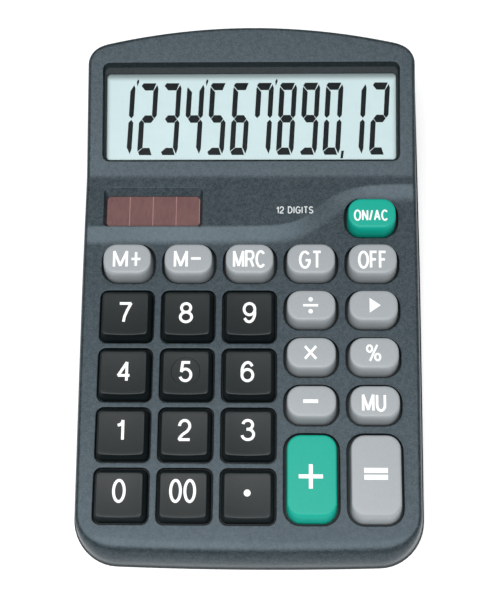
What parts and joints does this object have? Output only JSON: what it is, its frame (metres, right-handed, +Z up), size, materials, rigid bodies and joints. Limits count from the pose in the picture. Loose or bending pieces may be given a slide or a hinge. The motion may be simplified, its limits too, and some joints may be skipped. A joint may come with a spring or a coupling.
{
  "type": "desk calculator",
  "caption": "Desk calculator with a raised tilted display hood, solar cell, sprung number and function keys and a sliding battery door underneath",
  "frame": {"origin": "centre of the footprint, on the surface the rubber feet rest on", "axes": "+X to the user's right, +Y from the front edge towards the display, +Z up"},
  "size_m": [0.12, 0.1886, 0.0478],
  "materials": {
    "upper_case": "fine grained moulded blue-grey plastic, softly satin",
    "lower_case": "fine grained moulded blue-grey plastic, slightly lighter than the upper case",
    "black_keys": "charcoal plastic, satin top, white printed figure",
    "grey_keys": "light cool grey plastic, satin, white printed symbol",
    "green_key": "turquoise green plastic, satin, white printed symbol",
    "window": "clear acrylic sheet",
    "lcd": "pale cyan reflective display with dark seven-segment digits",
    "holder": "black moulded plastic",
    "film": "amber polyimide film with fine tracks",
    "solar": "red-brown amorphous cell in four fields",
    "board": "green resist over tracks",
    "chip": "black epoxy drop",
    "dome_rubber": "pale translucent silicone rubber",
    "foot_rubber": "black rubber",
    "battery_wrap": "printed shrink sleeve with a plain band, bare steel ends",
    "spring_steel": "nickel plated spring steel",
    "screw_steel": "zinc plated steel, cross recess",
    "red_sleeve": "red insulation",
    "black_sleeve": "black insulation"
  },
  "bodies": {
    "case": {"top_case": "upper_case", "bottom_case": "lower_case", "display_window": "window", "lcd_panel": "lcd", "lcd_holder": "holder", "lcd_ribbon": "film", "solar_cell": "solar", "circuit_board": "board", "controller_chip": "chip", "key_mat": "dome_rubber", "foot_front_left": "foot_rubber", "foot_front_right": "foot_rubber", "foot_rear_left": "foot_rubber", "foot_rear_right": "foot_rubber", "battery_cell": "battery_wrap", "battery_spring": "spring_steel", "battery_contact_plate": "spring_steel", "case_screw_front_left": "screw_steel", "case_screw_front_right": "screw_steel", "case_screw_rear_left": "screw_steel", "case_screw_rear_right": "screw_steel", "board_screw_front_left": "screw_steel", "board_screw_front_right": "screw_steel", "board_screw_rear_left": "screw_steel", "board_screw_rear_right": "screw_steel", "display_screw_left": "screw_steel", "display_screw_right": "screw_steel", "battery_lead_plus": "red_sleeve", "solar_lead_plus": "red_sleeve", "battery_lead_minus": "black_sleeve", "solar_lead_minus": "black_sleeve"},
    "key_0": {"key_0": "black_keys"},
    "key_00": {"key_00": "black_keys"},
    "key_point": {"key_point": "black_keys"},
    "key_1": {"key_1": "black_keys"},
    "key_2": {"key_2": "black_keys"},
    "key_3": {"key_3": "black_keys"},
    "key_4": {"key_4": "black_keys"},
    "key_5": {"key_5": "black_keys"},
    "key_6": {"key_6": "black_keys"},
    "key_7": {"key_7": "black_keys"},
    "key_8": {"key_8": "black_keys"},
    "key_9": {"key_9": "black_keys"},
    "key_plus": {"key_plus": "green_key"},
    "key_equals": {"key_equals": "grey_keys"},
    "key_minus": {"key_minus": "grey_keys"},
    "key_markup": {"key_markup": "grey_keys"},
    "key_times": {"key_times": "grey_keys"},
    "key_percent": {"key_percent": "grey_keys"},
    "key_divide": {"key_divide": "grey_keys"},
    "key_step_back": {"key_step_back": "grey_keys"},
    "key_memory_plus": {"key_memory_plus": "grey_keys"},
    "key_memory_minus": {"key_memory_minus": "grey_keys"},
    "key_memory_recall": {"key_memory_recall": "grey_keys"},
    "key_grand_total": {"key_grand_total": "grey_keys"},
    "key_off": {"key_off": "grey_keys"},
    "key_on_clear": {"key_on_clear": "green_key"},
    "battery_door": {"battery_door": "lower_case"}
  },
  "joints": [
    {"name": "key_0_press", "type": "slide", "parent": "case", "child": "key_0", "axis": [0, 0.1132, -0.9936], "range_m": [0, 0.0016], "stiffness_N_per_m": 400, "springref_m": -0.0005, "deforming": ["key_mat"]},
    {"name": "key_00_press", "type": "slide", "parent": "case", "child": "key_00", "axis": [0, 0.1132, -0.9936], "range_m": [0, 0.0016], "stiffness_N_per_m": 400, "springref_m": -0.0005, "deforming": ["key_mat"]},
    {"name": "key_point_press", "type": "slide", "parent": "case", "child": "key_point", "axis": [0, 0.1132, -0.9936], "range_m": [0, 0.0016], "stiffness_N_per_m": 400, "springref_m": -0.0005, "deforming": ["key_mat"]},
    {"name": "key_1_press", "type": "slide", "parent": "case", "child": "key_1", "axis": [0, 0.1132, -0.9936], "range_m": [0, 0.0016], "stiffness_N_per_m": 400, "springref_m": -0.0005, "deforming": ["key_mat"]},
    {"name": "key_2_press", "type": "slide", "parent": "case", "child": "key_2", "axis": [0, 0.1132, -0.9936], "range_m": [0, 0.0016], "stiffness_N_per_m": 400, "springref_m": -0.0005, "deforming": ["key_mat"]},
    {"name": "key_3_press", "type": "slide", "parent": "case", "child": "key_3", "axis": [0, 0.1132, -0.9936], "range_m": [0, 0.0016], "stiffness_N_per_m": 400, "springref_m": -0.0005, "deforming": ["key_mat"]},
    {"name": "key_4_press", "type": "slide", "parent": "case", "child": "key_4", "axis": [0, 0.1132, -0.9936], "range_m": [0, 0.0016], "stiffness_N_per_m": 400, "springref_m": -0.0005, "deforming": ["key_mat"]},
    {"name": "key_5_press", "type": "slide", "parent": "case", "child": "key_5", "axis": [0, 0.1132, -0.9936], "range_m": [0, 0.0016], "stiffness_N_per_m": 400, "springref_m": -0.0005, "deforming": ["key_mat"]},
    {"name": "key_6_press", "type": "slide", "parent": "case", "child": "key_6", "axis": [0, 0.1132, -0.9936], "range_m": [0, 0.0016], "stiffness_N_per_m": 400, "springref_m": -0.0005, "deforming": ["key_mat"]},
    {"name": "key_7_press", "type": "slide", "parent": "case", "child": "key_7", "axis": [0, 0.1132, -0.9936], "range_m": [0, 0.0016], "stiffness_N_per_m": 400, "springref_m": -0.0005, "deforming": ["key_mat"]},
    {"name": "key_8_press", "type": "slide", "parent": "case", "child": "key_8", "axis": [0, 0.1132, -0.9936], "range_m": [0, 0.0016], "stiffness_N_per_m": 400, "springref_m": -0.0005, "deforming": ["key_mat"]},
    {"name": "key_9_press", "type": "slide", "parent": "case", "child": "key_9", "axis": [0, 0.1132, -0.9936], "range_m": [0, 0.0016], "stiffness_N_per_m": 400, "springref_m": -0.0005, "deforming": ["key_mat"]},
    {"name": "key_plus_press", "type": "slide", "parent": "case", "child": "key_plus", "axis": [0, 0.1132, -0.9936], "range_m": [0, 0.0016], "stiffness_N_per_m": 400, "springref_m": -0.0005, "deforming": ["key_mat"]},
    {"name": "key_equals_press", "type": "slide", "parent": "case", "child": "key_equals", "axis": [0, 0.1132, -0.9936], "range_m": [0, 0.0016], "stiffness_N_per_m": 400, "springref_m": -0.0005, "deforming": ["key_mat"]},
    {"name": "key_minus_press", "type": "slide", "parent": "case", "child": "key_minus", "axis": [0, 0.1132, -0.9936], "range_m": [0, 0.0016], "stiffness_N_per_m": 400, "springref_m": -0.0005, "deforming": ["key_mat"]},
    {"name": "key_markup_press", "type": "slide", "parent": "case", "child": "key_markup", "axis": [0, 0.1132, -0.9936], "range_m": [0, 0.0016], "stiffness_N_per_m": 400, "springref_m": -0.0005, "deforming": ["key_mat"]},
    {"name": "key_times_press", "type": "slide", "parent": "case", "child": "key_times", "axis": [0, 0.1132, -0.9936], "range_m": [0, 0.0016], "stiffness_N_per_m": 400, "springref_m": -0.0005, "deforming": ["key_mat"]},
    {"name": "key_percent_press", "type": "slide", "parent": "case", "child": "key_percent", "axis": [0, 0.1132, -0.9936], "range_m": [0, 0.0016], "stiffness_N_per_m": 400, "springref_m": -0.0005, "deforming": ["key_mat"]},
    {"name": "key_divide_press", "type": "slide", "parent": "case", "child": "key_divide", "axis": [0, 0.1132, -0.9936], "range_m": [0, 0.0016], "stiffness_N_per_m": 400, "springref_m": -0.0005, "deforming": ["key_mat"]},
    {"name": "key_step_back_press", "type": "slide", "parent": "case", "child": "key_step_back", "axis": [0, 0.1132, -0.9936], "range_m": [0, 0.0016], "stiffness_N_per_m": 400, "springref_m": -0.0005, "deforming": ["key_mat"]},
    {"name": "key_memory_plus_press", "type": "slide", "parent": "case", "child": "key_memory_plus", "axis": [0, 0.1132, -0.9936], "range_m": [0, 0.0016], "stiffness_N_per_m": 400, "springref_m": -0.0005, "deforming": ["key_mat"]},
    {"name": "key_memory_minus_press", "type": "slide", "parent": "case", "child": "key_memory_minus", "axis": [0, 0.1132, -0.9936], "range_m": [0, 0.0016], "stiffness_N_per_m": 400, "springref_m": -0.0005, "deforming": ["key_mat"]},
    {"name": "key_memory_recall_press", "type": "slide", "parent": "case", "child": "key_memory_recall", "axis": [0, 0.1132, -0.9936], "range_m": [0, 0.0016], "stiffness_N_per_m": 400, "springref_m": -0.0005, "deforming": ["key_mat"]},
    {"name": "key_grand_total_press", "type": "slide", "parent": "case", "child": "key_grand_total", "axis": [0, 0.1132, -0.9936], "range_m": [0, 0.0016], "stiffness_N_per_m": 400, "springref_m": -0.0005, "deforming": ["key_mat"]},
    {"name": "key_off_press", "type": "slide", "parent": "case", "child": "key_off", "axis": [0, 0.1132, -0.9936], "range_m": [0, 0.0016], "stiffness_N_per_m": 400, "springref_m": -0.0005, "deforming": ["key_mat"]},
    {"name": "key_on_clear_press", "type": "slide", "parent": "case", "child": "key_on_clear", "axis": [0, 0.1132, -0.9936], "range_m": [0, 0.0016], "stiffness_N_per_m": 400, "springref_m": -0.0005, "deforming": ["key_mat"]},
    {"name": "battery_door_slide", "type": "slide", "parent": "case", "child": "battery_door", "axis": [0, 1, 0], "range_m": [0, 0.012]}
  ]
}
